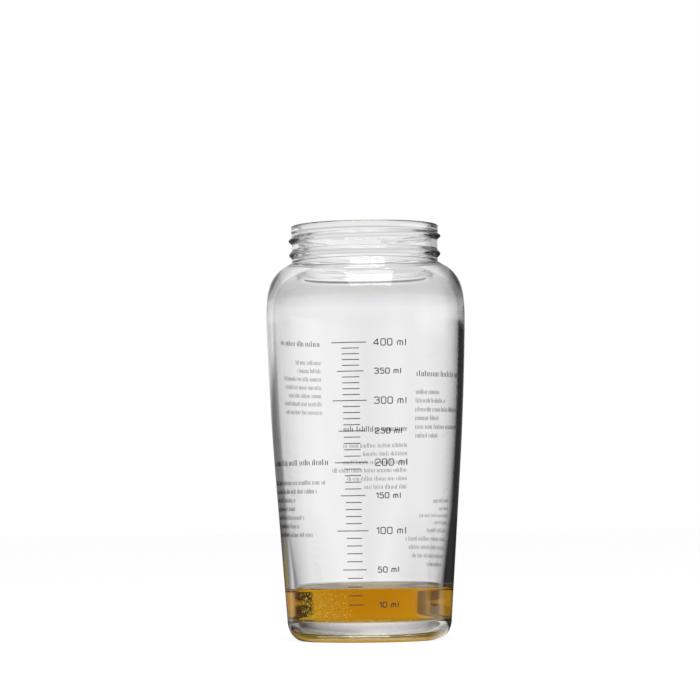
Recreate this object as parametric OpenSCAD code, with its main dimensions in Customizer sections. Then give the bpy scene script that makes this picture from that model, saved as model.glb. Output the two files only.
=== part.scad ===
// Salad dressing shaker: an open glass jar with printed volume marks, and its lid,
// which lies on the same table to the right of the jar. Millimetres, +Z up.
// The origin is the middle of the jar's foot, on the table.

/* [Jar body] */
// Overall height of the glass jar
jar_h = 168; // [150:1:200]
// Diameter that the swelling side runs towards under the shoulder
crown_d = 81.3; // [76:0.1:92]
// Outside diameter just above the rounded heel
heel_d = 66.5; // [58:0.5:72]
// Height of the rounded heel
heel_h = 8.5; // [4:0.5:10]
// How far the rounded heel curves inward
heel_in = 6.5; // [3:0.5:8]
// Height up to which the side is a straight taper
taper_h = 67; // [50:1:85]
// Height above the shoulder at which the swelling side would stand upright
crown_rise = 7; // [2:0.5:20]
// Height of the rounded stretch below the neck
shoulder_h = 62.7; // [50:0.1:75]
// Thickness of the glass wall
wall = 2.3; // [1.6:0.1:3.2]
// Glass that the wall gains at the foot
foot_extra = 2.8; // [0:0.1:4]
// Height over which the wall gains that glass
foot_extra_h = 50; // [30:1:70]
// Thickness of the glass floor
floor_t = 8; // [5:0.5:12]
// Radius of the inside corner at the floor
floor_r = 7; // [3:0.5:9]
// Rise of the hollow under the foot
punt = 1.4; // [0.5:0.1:3]

/* [Jar neck] */
// Outside diameter of the neck
neck_d = 59.3; // [54:0.1:62]
// Glass thickness of the neck
neck_wall = 2.5; // [2:0.1:3.2]
// Height of the neck above the shoulder
neck_h = 15.3; // [14.5:0.1:20]
// Radius of the hollow between neck and shoulder
neck_fillet = 1.2; // [0.6:0.1:2]
// Extra radius of the smooth band at the rim
rim_band = 0.25; // [0.1:0.05:0.4]
// Height of the smooth band at the rim
rim_band_h = 2.6; // [1.5:0.1:3]
// Rounding of the rim
rim_r = 0.9; // [0.4:0.1:1.2]
// How far the thread stands out of the neck
thread_out = 1.3; // [0.8:0.05:1.5]
// Height of the thread ridge
thread_t = 2.2; // [1.6:0.1:2.4]
// Rise of the thread in one turn
thread_pitch = 3.1; // [2.6:0.1:3.4]
// Angle over which the thread runs
thread_sweep = 330; // [240:5:340]
// Distance from the rim down to the middle of the thread
thread_drop = 5.25; // [4.6:0.05:5.6]
// Distance from the rim down to the collar ring
collar_drop = 11.7; // [11.2:0.1:13]
// How far the collar ring stands out of the neck
collar_out = 1.15; // [0.8:0.05:1.5]
// Height of the collar ring
collar_t = 2.7; // [2:0.1:3]

/* [Printed marks] */
// Volume between two marks, in millilitres
mark_step = 10; // [10:10:50]
// Volume at the highest mark, in millilitres
mark_top = 400; // [200:50:420]
// Volume under the zero of the printed scale, in millilitres
mark_zero = 7.6; // [0:0.2:12]
// Thickness of a printed line
mark_line = 0.34; // [0.2:0.02:0.6]
// How far the printed ink stands out of the glass
ink = 0.06; // [0.04:0.01:0.2]
// Angle from the front at which the long marks start
mark_long = 20; // [16:0.5:26]
// Angle from the front at which the middle marks start
mark_middle = 17; // [12:0.5:24]
// Angle from the front at which the short marks start
mark_short = 14; // [9:0.5:20]

/* [Dressing] */
// Height of the oil surface above the table
oil_level = 21.5; // [16:0.5:60]

/* [Lid ring] */
// Distance from the middle of the jar to the middle of the lid
lid_x = 176; // [168:1:220]
// Gap between the lid's skirt and the collar ring when it is screwed on
skirt_gap = 0.6; // [0.3:0.1:1.2]
// Clearance between the threads of the jar and the lid
thread_gap = 0.35; // [0.2:0.05:0.45]
// Thickness of the liner behind its thread
liner_t = 1.7; // [1.2:0.1:2.5]
// Thickness of the steel sheet
sheet_t = 0.5; // [0.4:0.1:0.8]
// Thickness of the lip that holds the pouring insert down
lip_t = 1.2; // [0.8:0.1:2]
// Radius of the rolled edges of the steel ring
ring_edge_r = 1.6; // [1:0.1:2]
// Number of grip grooves in the steel ring
grip_grooves = 3; // [1:1:4]
// Depth of a grip groove
grip_depth = 0.2; // [0.1:0.05:0.3]
// Height of a grip groove
grip_w = 0.8; // [0.4:0.1:1]
// Distance from one grip groove to the next
grip_pitch = 2; // [1.5:0.1:2.4]

/* [Pouring insert] */
// Running gap between the insert and the ring that turns on it
turn_gap = 0.35; // [0.3:0.05:0.6]
// Thickness of the flange that rests on the seal
flange_t = 2; // [1.4:0.1:3]
// Width of the shelf over which the ring's lip reaches
shelf_w = 2.35; // [1.8:0.05:3]
// Thickness of the silicone seal
seal_t = 1.2; // [0.8:0.1:1.6]
// Clearance of the insert's skirt in the neck
bore_gap = 0.5; // [0.2:0.1:1]
// Thickness of the insert's skirt
skirt_t = 1.5; // [1:0.1:2]
// How far the insert's skirt stops above the bottom of the ring
skirt_rise = 1.5; // [0.5:0.1:3]
// Height of the deck above the top of the ring
deck_rise = 2.3; // [1.6:0.1:5]
// Thickness of the deck
deck_t = 2; // [1.4:0.1:3]
// Inside diameter of the spout
spout_d = 13; // [8:0.5:15]
// Wall thickness of the spout
spout_t = 1.3; // [0.9:0.1:1.6]
// Height of the spout above the deck
spout_h = 4; // [3:0.1:6]
// How far the spout's lip flares outward
spout_flare = 0.7; // [0.3:0.1:1]
// Distance from the middle of the lid to the spout
spout_y = 14.5; // [12:0.5:15]

/* [Strainer] */
// Thickness of the strainer disc
strainer_t = 1.2; // [0.8:0.1:2]
// Diameter of a strainer hole
strainer_hole = 2.6; // [1.5:0.1:3.2]
// Distance from one ring of strainer holes to the next
strainer_pitch = 5.2; // [4.4:0.1:7]
// Height of the strainer above the bottom of the insert's skirt
strainer_up = 1.2; // [0.6:0.1:2]
// Depth of the groove that holds the strainer
snap_depth = 0.5; // [0.3:0.1:0.7]

/* [Flip cap] */
// Gap between the cap's rim and the deck
cap_gap = 0.35; // [0.3:0.05:0.6]
// How far the cap's rim stays inside the insert
cap_inset = 0.3; // [0:0.1:1]
// Thickness of the cap's wall and roof
cap_t = 1.6; // [1.2:0.1:2.2]
// Air between the spout and the cap's roof
cap_air = 0.5; // [0.4:0.1:1.2]
// Height of the steel cover plate above the roof
plate_t = 0.7; // [0.5:0.1:1]
// Width of the plastic rim left round the plate
plate_rim = 1.2; // [0.8:0.1:3]
// Clearance of the silicone plug in the spout
plug_gap = 0.35; // [0.3:0.05:0.6]
// Depth to which the plug reaches into the spout
plug_h = 3; // [1.5:0.1:3.5]
// Width of the thumb tab
tab_w = 16; // [10:0.5:22]
// How far the thumb tab reaches past the cap
tab_out = 3.2; // [2:0.1:5]
// Thickness of the thumb tab
tab_t = 1.8; // [1.2:0.1:2.4]

/* [Hinge] */
// Distance from the middle of the lid to the hinge pin
hinge_y = 24.2; // [23:0.1:24.6]
// Outside diameter of the hinge barrels
barrel_d = 4.8; // [4.4:0.1:5.4]
// Diameter of the hinge pin
pin_d = 2.4; // [1.6:0.1:2.8]
// Running clearance of the pin in the cap's barrel, on the radius
pin_gap = 0.06; // [0.02:0.01:0.09]
// Length of the cap's barrel
knuckle_l = 11; // [8:0.5:13]
// Length of each of the insert's two barrels
lug_l = 3.4; // [2.5:0.1:4]
// Gap between the barrels, along the pin
knuckle_gap = 0.4; // [0.3:0.05:0.6]

/* [Hidden] */
$fn = 96;

// Radii and heights of the jar
crown_r = crown_d/2;
neck_r = neck_d/2;
bore_r = neck_r - neck_wall;
rim_out = neck_r + rim_band;
rim_round = min(rim_r, 0.45*neck_wall);
thread_r = neck_r + thread_out;
collar_z = jar_h - collar_drop;
neck_z = jar_h - neck_h;
shoulder_z = neck_z - shoulder_h;
foot_r = heel_d/2 - heel_in;
foot_ring_w = 1.8;
// The side would be widest here, above the shoulder that cuts it off
crown_z = neck_z + crown_rise;
side_slope = (crown_r - heel_d/2)/((taper_h - heel_h) + (crown_z - taper_h)/2);
// Exponents that give the shoulder its tight rounded corner
shoulder_p = 11.1;
shoulder_q = 1.15;
// Distance between two points of the outline, on the side and near the neck
side_step = 3;
corner_step = 0.6;
corner_h = 13;

// Radius of the side: a straight taper that then bends evenly towards upright
function side(z) = z < taper_h
    ? heel_d/2 + side_slope*(z - heel_h)
    : crown_r - side_slope*pow(crown_z - z, 2)/(2*(crown_z - taper_h));
// Share of the width that the shoulder keeps at the share u of its height
function keep(u) = pow(1 - pow(max(0, min(1, u)), shoulder_p), 1/shoulder_q);
// Radius of the outside, from the heel to the neck
function outside(z) = neck_r + (side(z) - neck_r)*keep((z - shoulder_z)/shoulder_h);
// Radius of the hollow, from the floor's corner to the neck
function wall_at(z) = wall + foot_extra*max(0, 1 - z/foot_extra_h);
function inside(z) = bore_r
    + (side(z) - wall_at(z) - bore_r)*keep((z - shoulder_z)/(shoulder_h - wall));
// Radius of the hollow in the rounded corner at the floor as well
corner_z = floor_t + floor_r;
corner_mid = inside(corner_z) - floor_r;
function hollow_r(z) = z < corner_z
    ? corner_mid + sqrt(pow(floor_r, 2) - pow(corner_z - z, 2))
    : inside(z);

// Points of an arc round [x, z], from angle a to angle b
function arc(x, z, r, a, b, n) = [for (i = [0:n]) let (t = a + (b - a)*i/n) [x + r*cos(t), z + r*sin(t)]];
// Heights from a to just under b, closer together on the last stretch
function heights(a, b) = concat([for (z = [a:side_step:b - corner_h - 0.01]) z],
                                [for (z = [b - corner_h:corner_step:b - 0.01]) z]);

// The hollow between shoulder and neck starts where the shoulder has this lean
fillet_lean = 32;
fillet_in = neck_fillet*(1 - sin(fillet_lean));
fillet_u = pow(1 - pow(fillet_in/(side(neck_z) - neck_r), shoulder_q), 1/shoulder_p);
fillet_z = shoulder_z + shoulder_h*fillet_u;
fillet_mid = fillet_z + neck_fillet*cos(fillet_lean);

// Outline of the glass outside, from the middle of the foot to the rim
outer_line = concat(
    [[0, punt], [foot_r - foot_ring_w - 2*punt, punt], [foot_r - foot_ring_w, 0]],
    [for (p = arc(0, 0, 1, -90, 0, 10)) [foot_r + heel_in*p[0], heel_h + heel_h*p[1]]],
    [for (z = heights(heel_h + 1, fillet_z)) [outside(z), z]],
    arc(neck_r + neck_fillet, fillet_mid, neck_fillet, 270 - fillet_lean, 180, 4),
    [[neck_r, jar_h - rim_band_h - rim_band], [rim_out, jar_h - rim_band_h]],
    arc(rim_out - rim_round, jar_h - rim_round, rim_round, 0, 90, 5),
    [[0, jar_h]]);
// Outline of the hollow, from the middle of the floor to above the rim
hollow_line = concat(
    [[0, floor_t]],
    arc(corner_mid, corner_z, floor_r, -90, -10, 8),
    [for (z = heights(corner_z, neck_z - wall)) [inside(z), z]],
    [[bore_r, neck_z - wall]],
    arc(bore_r + rim_round, jar_h - rim_round, rim_round, 180, 90, 5),
    [[bore_r + rim_round, jar_h + 1], [0, jar_h + 1]]);

// Heights at which the jar holds a given volume, as pairs of millilitres and height
level_step = 1;
function slice(z) = PI*pow(hollow_r(z + level_step/2), 2)*level_step/1000;
levels = [for (z = floor_t, v = 0; z < neck_z; v = v + slice(z), z = z + level_step) [v, z]];

// Heights of the lid, above the bottom edge of its ring
seat_z = collar_drop - collar_t/2 - skirt_gap;
flange_z = seat_z + seal_t;
shelf_z = flange_z + flange_t;
lip_z = shelf_z + turn_gap;
liner_top = lip_z + lip_t;
ring_top = liner_top + sheet_t;
deck_z = ring_top + deck_rise;
roof_z = deck_z + spout_h + cap_air;
roof_top = roof_z + cap_t;
hinge_z = deck_z + cap_gap + barrel_d/2;
strainer_z = skirt_rise + strainer_up;

// Radii of the lid
root_r = thread_r + thread_gap;
crest_r = rim_out + thread_gap;
liner_r = root_r + liner_t;
ring_r = liner_r + sheet_t;
flange_r = root_r - turn_gap;
insert_r = flange_r - shelf_w;
lip_r = insert_r + turn_gap;
skirt_r = bore_r - bore_gap;
chamber_r = skirt_r - skirt_t;
strainer_r = chamber_r + snap_depth;
cap_r = insert_r - cap_inset;
plate_r = cap_r - plate_rim;
spout_r = spout_d/2;
barrel_r = barrel_d/2;
pin_r = pin_d/2;
// Sizes of small features that no other piece depends on
edge_r = 1;
plate_edge = 0.25;
rib_t = 1.6;
rib_under = 0.15;
snap_h = 1;
stem_r = 2;
pin_edge = 0.3;
spout_edge = 0.4;
plug_edge = 0.7;
seal_edge = 0.2;
plate_slack = 0.1;
foot_h = 0.4;
foot_step = 0.1;
mark_middle_end = 1.6;
mark_short_end = 4;
// The cap's back is cut off flat here, to clear the hinge as it swings
back_gap = 0.6;
cap_back = hinge_y - barrel_r - back_gap;

// A ridge that winds round a core, tapering into it at both ends. out is how far
// it stands proud, which is negative for a ridge on the inside of a bore.
module thread_ridge(core_r, out, t, pitch, sweep, mid_z, low_z) {
    turn_step = 6;
    fade = 24;
    depth = 0.4*sign(out);
    rings = floor(sweep/turn_step);
    arc_n = 8;
    // The ridge is lowest at the back and passes the front at its middle height
    function lift(a) = mid_z + pitch*a/360;
    function grow(a) = sqrt(max(0.04, min(1, (sweep/2 - abs(a))/fade)));
    function section(a) = [for (i = [0:arc_n])
        let (b = -90 + 180*i/arc_n, r = core_r - depth + (out + depth)*grow(a)*cos(b))
        [r*sin(a), -r*cos(a), max(low_z, lift(a) + t/2*sin(b))]];
    pts = [for (k = [0:rings]) each section(-sweep/2 + sweep*k/rings)];
    n = arc_n + 1;
    sides = [for (k = [0:rings - 1], i = [0:n - 1]) let (j = (i + 1) % n)
        [k*n + i, k*n + j, (k + 1)*n + j, (k + 1)*n + i]];
    ends = [[for (i = [n - 1:-1:0]) i], [for (i = [0:n - 1]) rings*n + i]];
    polyhedron(points = pts, faces = out > 0 ? concat(sides, ends)
        : [for (f = concat(sides, ends)) [for (i = [len(f) - 1:-1:0]) f[i]]]);
}

// The collar ring: a rounded bead all round the neck
module collar_ring() {
    core = neck_r - 0.3;
    rotate_extrude() polygon([for (p = arc(0, 0, 1, -90, 90, 12))
        [core + (neck_r + collar_out - core)*p[0], collar_z + collar_t/2*p[1]]]);
}

// Glass: body, neck, collar ring and one turn of screw thread in one piece
module glass_jar() color([0.86, 0.92, 0.92, 0.45]) {
    difference() {
        rotate_extrude() polygon(outer_line);
        rotate_extrude() polygon(hollow_line);
    }
    collar_ring();
    thread_ridge(neck_r, thread_out, thread_t, thread_pitch, thread_sweep, jar_h - thread_drop, 0);
}

// One printed line on the glass, from a degrees to b degrees left of the front
module mark(z, a, b) {
    low = z - mark_line/2;
    high = z + mark_line/2;
    rotate([0, 0, -90 - a]) rotate_extrude(angle = a - b)
        polygon([[outside(low), low], [outside(low) + ink, low],
                 [outside(high) + ink, high], [outside(high), high]]);
}

// Dark ink fired onto the glass: one line for each step of volume
module volume_marks() color([0.22, 0.22, 0.24])
    for (v = [mark_step:mark_step:mark_top])
        let (z = lookup(v + mark_zero, levels))
            if (v % 100 == 0) mark(z, mark_long, 0);
            else if (v % 50 == 0) mark(z, mark_middle, mark_middle_end);
            else mark(z, mark_short, mark_short_end);

// The oil that stands in the jar
module oil_fill() color([0.85, 0.6, 0.05, 0.85]) intersection() {
    rotate_extrude() polygon(hollow_line);
    cylinder(r = crown_r, h = oil_level);
}

// Everything of the lid stands on the table at this place
module on_table() translate([lid_x, 0, 0]) children();

// Brushed steel shell of the screw ring, rolled over the liner at the top
module screw_ring() on_table() color([0.78, 0.79, 0.8]) {
    mid = ring_r - ring_edge_r;
    groove_z = 0.45*ring_top - (grip_grooves - 1)*grip_pitch/2;
    grooves = [for (i = [0:grip_grooves - 1], q = [[0, -2], [1, -1], [1, 1], [0, 2]])
        [ring_r - q[0]*grip_depth, groove_z + i*grip_pitch + q[1]*grip_w/4]];
    rotate_extrude() polygon(concat(
        [[liner_r, foot_h], [ring_r, foot_h]], grooves,
        arc(mid, ring_top - ring_edge_r, ring_edge_r, 0, 90, 6),
        [[lip_r, ring_top], [lip_r, liner_top]],
        arc(mid, ring_top - ring_edge_r, ring_edge_r - sheet_t, 90, 0, 6)));
}

// Moulded liner pressed into the steel: thread, snap bead and the lip over the insert
module ring_liner() on_table() color([0.13, 0.13, 0.14]) {
    mid = ring_r - ring_edge_r;
    snap_top = flange_z - turn_gap;
    rotate_extrude() polygon(concat(
        [[root_r, 0], [ring_r - foot_step, 0], [ring_r - foot_step, foot_h], [liner_r, foot_h]],
        arc(mid, ring_top - ring_edge_r, ring_edge_r - sheet_t, 0, 90, 6),
        [[lip_r, liner_top], [lip_r, lip_z], [root_r, lip_z],
         [root_r, snap_top], [crest_r, snap_top - snap_h/4],
         [crest_r, snap_top - snap_h/2], [root_r, snap_top - snap_h]]));
    thread_ridge(root_r, crest_r - root_r, rib_t, thread_pitch, thread_sweep,
                 seat_z - thread_drop - (thread_t + rib_t)/2 - rib_under, foot_h/4);
}

// Places its children along the hinge pin
module on_hinge() translate([0, hinge_y, hinge_z]) rotate([0, 90, 0]) children();

// One barrel of the insert, standing on the deck
module lug() intersection() {
    union() {
        on_hinge() cylinder(r = barrel_r, h = lug_l);
        translate([0, hinge_y - barrel_r, deck_z - deck_t/2])
            cube([lug_l, barrel_d, hinge_z - deck_z + deck_t/2]);
    }
    cylinder(r = insert_r, h = hinge_z + barrel_d);
}

// Moulded insert: skirt in the neck, flange on the seal, deck, spout and hinge barrels
module pour_insert() on_table() color([0.15, 0.15, 0.16]) difference() {
    union() {
        rotate_extrude() polygon(concat(
            [[chamber_r, skirt_rise], [skirt_r, skirt_rise], [skirt_r, flange_z],
             [flange_r, flange_z], [flange_r, shelf_z], [insert_r, shelf_z]],
            arc(insert_r - edge_r, deck_z - edge_r, edge_r, 0, 90, 5),
            [[0, deck_z], [0, deck_z - deck_t], [chamber_r, deck_z - deck_t],
             [chamber_r, strainer_z + strainer_t], [strainer_r, strainer_z + strainer_t],
             [strainer_r, strainer_z], [chamber_r, strainer_z]]));
        translate([0, -spout_y, deck_z]) rotate_extrude() polygon([
            [0, -deck_t/2], [spout_r + spout_t, -deck_t/2],
            [spout_r + spout_t, spout_h - spout_flare - spout_edge],
            [spout_r + spout_t + spout_flare, spout_h - spout_edge],
            [spout_r + spout_t + spout_flare, spout_h], [0, spout_h]]);
        for (x = [knuckle_l/2 + knuckle_gap, -knuckle_l/2 - knuckle_gap - lug_l])
            translate([x, 0, 0]) lug();
    }
    translate([0, -spout_y, deck_z - deck_t - 1]) cylinder(r = spout_r, h = deck_t + spout_h + 2);
    translate([-insert_r, 0, 0]) on_hinge() cylinder(r = pin_r, h = 2*insert_r);
}

// Silicone ring between the insert's flange and the rim of the jar
module neck_seal() on_table() color([0.75, 0.76, 0.77]) rotate_extrude()
    polygon([[skirt_r, seat_z], [rim_out - seal_edge, seat_z], [rim_out, seat_z + seal_edge],
             [rim_out, flange_z], [skirt_r, flange_z]]);

// Perforated disc that holds herbs back, snapped into the insert's skirt
module strainer() on_table() color([0.7, 0.71, 0.72]) translate([0, 0, strainer_z]) difference() {
    rings = floor((chamber_r - strainer_hole)/strainer_pitch);
    cylinder(r = strainer_r, h = strainer_t);
    for (k = [0:rings], i = [1:max(1, 6*k)]) rotate([0, 0, 60*i/max(1, k)])
        translate([k*strainer_pitch, 0, -1]) cylinder(d = strainer_hole, h = strainer_t + 2, $fn = 24);
}

// Steel pin, pressed into the insert's barrels
module hinge_pin() on_table() color([0.7, 0.7, 0.72]) {
    half = knuckle_l/2 + knuckle_gap + lug_l + pin_edge;
    on_hinge() rotate_extrude() polygon([[0, -half], [pin_r - pin_edge, -half],
        [pin_r, pin_edge - half], [pin_r, half - pin_edge], [pin_r - pin_edge, half], [0, half]]);
}

// A disc whose back is cut off flat
module cut_disc(r, z, h, back) intersection() {
    translate([0, 0, z]) cylinder(r = r, h = h);
    translate([-2*r, -2*r, z - 1]) cube([4*r, 2*r + back, h + 2]);
}

// Moulded flip cap: a shallow cup with a thumb tab and one barrel
module flip_cap() on_table() color([0.13, 0.13, 0.14]) difference() {
    cap_z = deck_z + cap_gap;
    rim_z = roof_top + plate_t - plate_edge;
    union() {
        intersection() {
            cut_disc(cap_r, cap_z, rim_z - cap_z, cap_back);
            rotate_extrude() polygon(concat([[0, 0], [cap_r, 0]],
                arc(cap_r - edge_r, rim_z - edge_r, edge_r, 0, 90, 5), [[0, rim_z]]));
        }
        on_hinge() translate([0, 0, -knuckle_l/2]) cylinder(r = barrel_r, h = knuckle_l);
        translate([-knuckle_l/2, cap_back - cap_t/2, hinge_z])
            cube([knuckle_l, hinge_y - cap_back + cap_t/2, barrel_r]);
        intersection() {
            translate([0, 0, cap_z]) cylinder(r = cap_r + tab_out, h = tab_t);
            translate([-tab_w/2, -2*cap_r, cap_z]) cube([tab_w, cap_r + cap_t, tab_t]);
        }
    }
    cut_disc(cap_r - cap_t, cap_z - 2, roof_z - cap_z + 2, cap_back - cap_t);
    cut_disc(plate_r, roof_top, plate_t, cap_back - plate_rim);
    translate([0, -spout_y, roof_z - 1]) cylinder(r = stem_r, h = cap_t + 2);
    translate([-insert_r, 0, 0]) on_hinge() cylinder(r = pin_r + pin_gap, h = 2*insert_r);
}

// Brushed steel plate bonded into the top of the cap
module cap_plate() on_table() color([0.8, 0.81, 0.82]) {
    r = plate_r - plate_slack;
    intersection() {
        cut_disc(r, roof_top, plate_t, cap_back - plate_rim - plate_slack);
        rotate_extrude() polygon([[0, roof_top], [r, roof_top], [r, roof_top + plate_t - plate_edge],
            [r - plate_edge, roof_top + plate_t], [0, roof_top + plate_t]]);
    }
}

// Silicone plug that closes the spout, held in the cap's roof by its stem
module cap_plug() on_table() color([0.75, 0.76, 0.77]) {
    r = spout_r - plug_gap;
    low = deck_z + spout_h - plug_h;
    translate([0, -spout_y, 0]) rotate_extrude() polygon([[0, low], [r - plug_edge, low],
        [r, low + plug_edge], [r, roof_z], [stem_r, roof_z], [stem_r, roof_top], [0, roof_top]]);
}

glass_jar();
volume_marks();
oil_fill();
screw_ring();
ring_liner();
pour_insert();
neck_seal();
strainer();
hinge_pin();
flip_cap();
cap_plate();
cap_plug();
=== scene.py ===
import math

import bmesh
import bpy
import numpy as np
from mathutils import Matrix, Vector


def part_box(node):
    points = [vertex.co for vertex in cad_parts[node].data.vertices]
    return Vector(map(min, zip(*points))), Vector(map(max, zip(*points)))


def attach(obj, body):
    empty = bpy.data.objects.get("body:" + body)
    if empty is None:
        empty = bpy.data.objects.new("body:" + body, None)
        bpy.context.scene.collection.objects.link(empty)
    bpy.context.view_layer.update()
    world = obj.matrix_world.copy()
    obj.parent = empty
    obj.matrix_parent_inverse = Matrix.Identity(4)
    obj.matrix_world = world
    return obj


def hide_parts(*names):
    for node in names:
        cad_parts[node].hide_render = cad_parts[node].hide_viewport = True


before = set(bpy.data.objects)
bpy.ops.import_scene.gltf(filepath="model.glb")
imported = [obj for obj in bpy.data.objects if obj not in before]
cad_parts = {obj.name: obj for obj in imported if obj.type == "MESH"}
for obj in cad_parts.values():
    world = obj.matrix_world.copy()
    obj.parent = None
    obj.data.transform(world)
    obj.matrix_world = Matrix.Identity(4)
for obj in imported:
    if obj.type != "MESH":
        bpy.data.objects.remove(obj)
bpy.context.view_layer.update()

mm = 0.001

# The glass jar: clear soda glass blown in a mould, with a thick pressed foot, a tight
# round shoulder, and a neck that carries a smooth rim, one turn of thread and a collar.
jar_h = 168
neck_r, neck_wall, neck_h = 29.65, 2.5, 15.3
crown_r, heel_side, heel_h, heel_in = 40.65, 33.25, 8.5, 6.5
taper_h, shoulder_h, crown_rise = 67, 62.7, 7
wall, foot_extra, foot_extra_h = 2.3, 2.8, 50
floor_t, floor_r, punt, foot_ring = 8, 7, 1.4, 1.8
thread_out, thread_half, thread_pitch, thread_drop = 1.3, 1.55, 3.1, 5.25
thread_end, thread_fade = 165, 24
collar_out, collar_half, collar_drop = 1.15, 1.8, 11.7
rim_band, rim_band_h, rim_band_step, rim_r = 0.25, 2.6, 0.5, 0.9
shoulder_p, shoulder_q = 11.1, 1.15
fillet_r, fillet_up, fillet_drop, heel_gap, punt_flat, corner_lean = 1.2, 1.0, 0.55, 1.2, 14, 8
row_far, row_near, row_neck, near_h = 2.6, 0.4, 0.16, 13
glass_turns, glass_ior, glass_clear, wet_top = 224, 1.5, 0.985, 22.1

bore_r = neck_r - neck_wall
neck_z = jar_h - neck_h
shoulder_z = neck_z - shoulder_h
crown_z = neck_z + crown_rise
foot_r = heel_side - heel_in
side_slope = (crown_r - heel_side) / ((taper_h - heel_h) + (crown_z - taper_h) / 2)


def side(z):
    """Radius of the side: a straight taper, then a parabola that bends evenly from the
    taper's slope to upright at the crown."""
    bend = crown_r - side_slope * (crown_z - z) ** 2 / (2 * (crown_z - taper_h))
    return np.where(z < taper_h, heel_side + side_slope * (z - heel_h), bend)


def keep(u):
    """Share of the width that the shoulder keeps at the share u of its height: one minus
    u to the power p, and of that the q-th root."""
    return (1 - np.clip(u, 0, 1) ** shoulder_p) ** (1 / shoulder_q)


def outside(z):
    """Radius of the glass outside, from the heel to the neck: the neck's radius and the
    kept share of how far the side stands out from it."""
    return neck_r + (side(z) - neck_r) * keep((z - shoulder_z) / shoulder_h)


def inside(z):
    """Radius of the hollow, from the floor's corner to the neck: as outside, less the
    wall, which gets evenly thicker towards the foot."""
    gap = wall + foot_extra * np.maximum(0, 1 - z / foot_extra_h)
    return bore_r + (side(z) - gap - bore_r) * keep((z - shoulder_z) / (shoulder_h - wall))


def arc(x, z, r, a, b, n):
    """n points of an arc from angle a to angle b in degrees: x and z, plus the radius times
    the angle's cosine and sine."""
    t = np.radians(np.linspace(a, b, n))
    return np.stack([x + r * np.cos(t), z + r * np.sin(t)], 1)


def line(x0, z0, x1, z1, n=2):
    """n points on a straight line, evenly from its first point to just before its last."""
    t = np.arange(n)[:, None] / n
    return np.array([[x0, z0]]) * (1 - t) + np.array([[x1, z1]]) * t


def mesh_of(name, points, faces, smooth=True):
    """A new object with this mesh, whose points are given in millimetres."""
    mesh = bpy.data.meshes.new(name)
    mesh.from_pydata((np.asarray(points) * mm).tolist(), [], faces)
    mesh.polygons.foreach_set("use_smooth", np.full(len(mesh.polygons), smooth))
    mesh.update()
    obj = bpy.data.objects.new(name, mesh)
    bpy.context.scene.collection.objects.link(obj)
    return obj


def lathe_grid(r, z, turns):
    """Points and faces of a profile turned about the axis. r and z hold one row per
    profile point, and r may also change with the angle, one column per step. A profile
    that starts and ends on the axis gets one point at each end, any other closes on
    itself. The angle runs from the front, -Y, towards +X."""
    a = np.linspace(0, 2 * np.pi, turns, endpoint=False)
    r = np.broadcast_to(r if r.ndim == 2 else r[:, None], (len(z), turns))
    z = np.broadcast_to(z if z.ndim == 2 else z[:, None], (len(z), turns))
    points = np.stack([r * np.sin(a), -r * np.cos(a), z], 2)
    ends = r[0, 0] < 1e-6
    rows, j = len(z), np.arange(turns)
    k = (j + 1) % turns
    index = np.arange(rows * turns).reshape(rows, turns)
    if ends:
        low, high = index[1:-2], index[2:-1]
    else:
        low, high = index, np.roll(index, -1, 0)
    quads = np.stack([low[:, j], low[:, k], high[:, k], high[:, j]], 2).reshape(-1, 4)
    faces = quads.tolist()
    if ends:
        faces += np.stack([np.zeros_like(j), index[1][k], index[1][j]], 1).tolist()
        faces += np.stack([np.full_like(j, index[-1][0]), index[-2][j], index[-2][k]], 1).tolist()
    return points.reshape(-1, 3), faces


def closed(obj, turn_out=False):
    """Merges points that fall together, which closes the poles, and turns the faces of an
    object made of several shells outwards."""
    work = bmesh.new()
    work.from_mesh(obj.data)
    bmesh.ops.remove_doubles(work, verts=work.verts, dist=1e-7)
    if turn_out:
        bmesh.ops.recalc_face_normals(work, faces=work.faces)
    work.to_mesh(obj.data)
    work.free()


def bump(d):
    """A rounded ridge, 1 in the middle and nothing from d = 1 on both sides: a raised
    cosine to the power 0.9."""
    return np.where(np.abs(d) < 1, (0.5 + 0.5 * np.cos(np.pi * d)) ** 0.9, 0)


def ease(t):
    """Runs smoothly from 0 to 1 as t does: three times its square less twice its cube."""
    t = np.clip(t, 0, 1)
    return t * t * (3 - 2 * t)


def heights(a, b, step):
    """Heights from a to just under b, about this step apart."""
    return np.linspace(a, b, int(round((b - a) / step)), endpoint=False)


def near_top(a, b):
    """Heights from a to just under b, close together only where the shoulder turns in."""
    return np.concatenate([heights(a, b - near_h, row_far), heights(b - near_h, b, row_near)])


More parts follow.
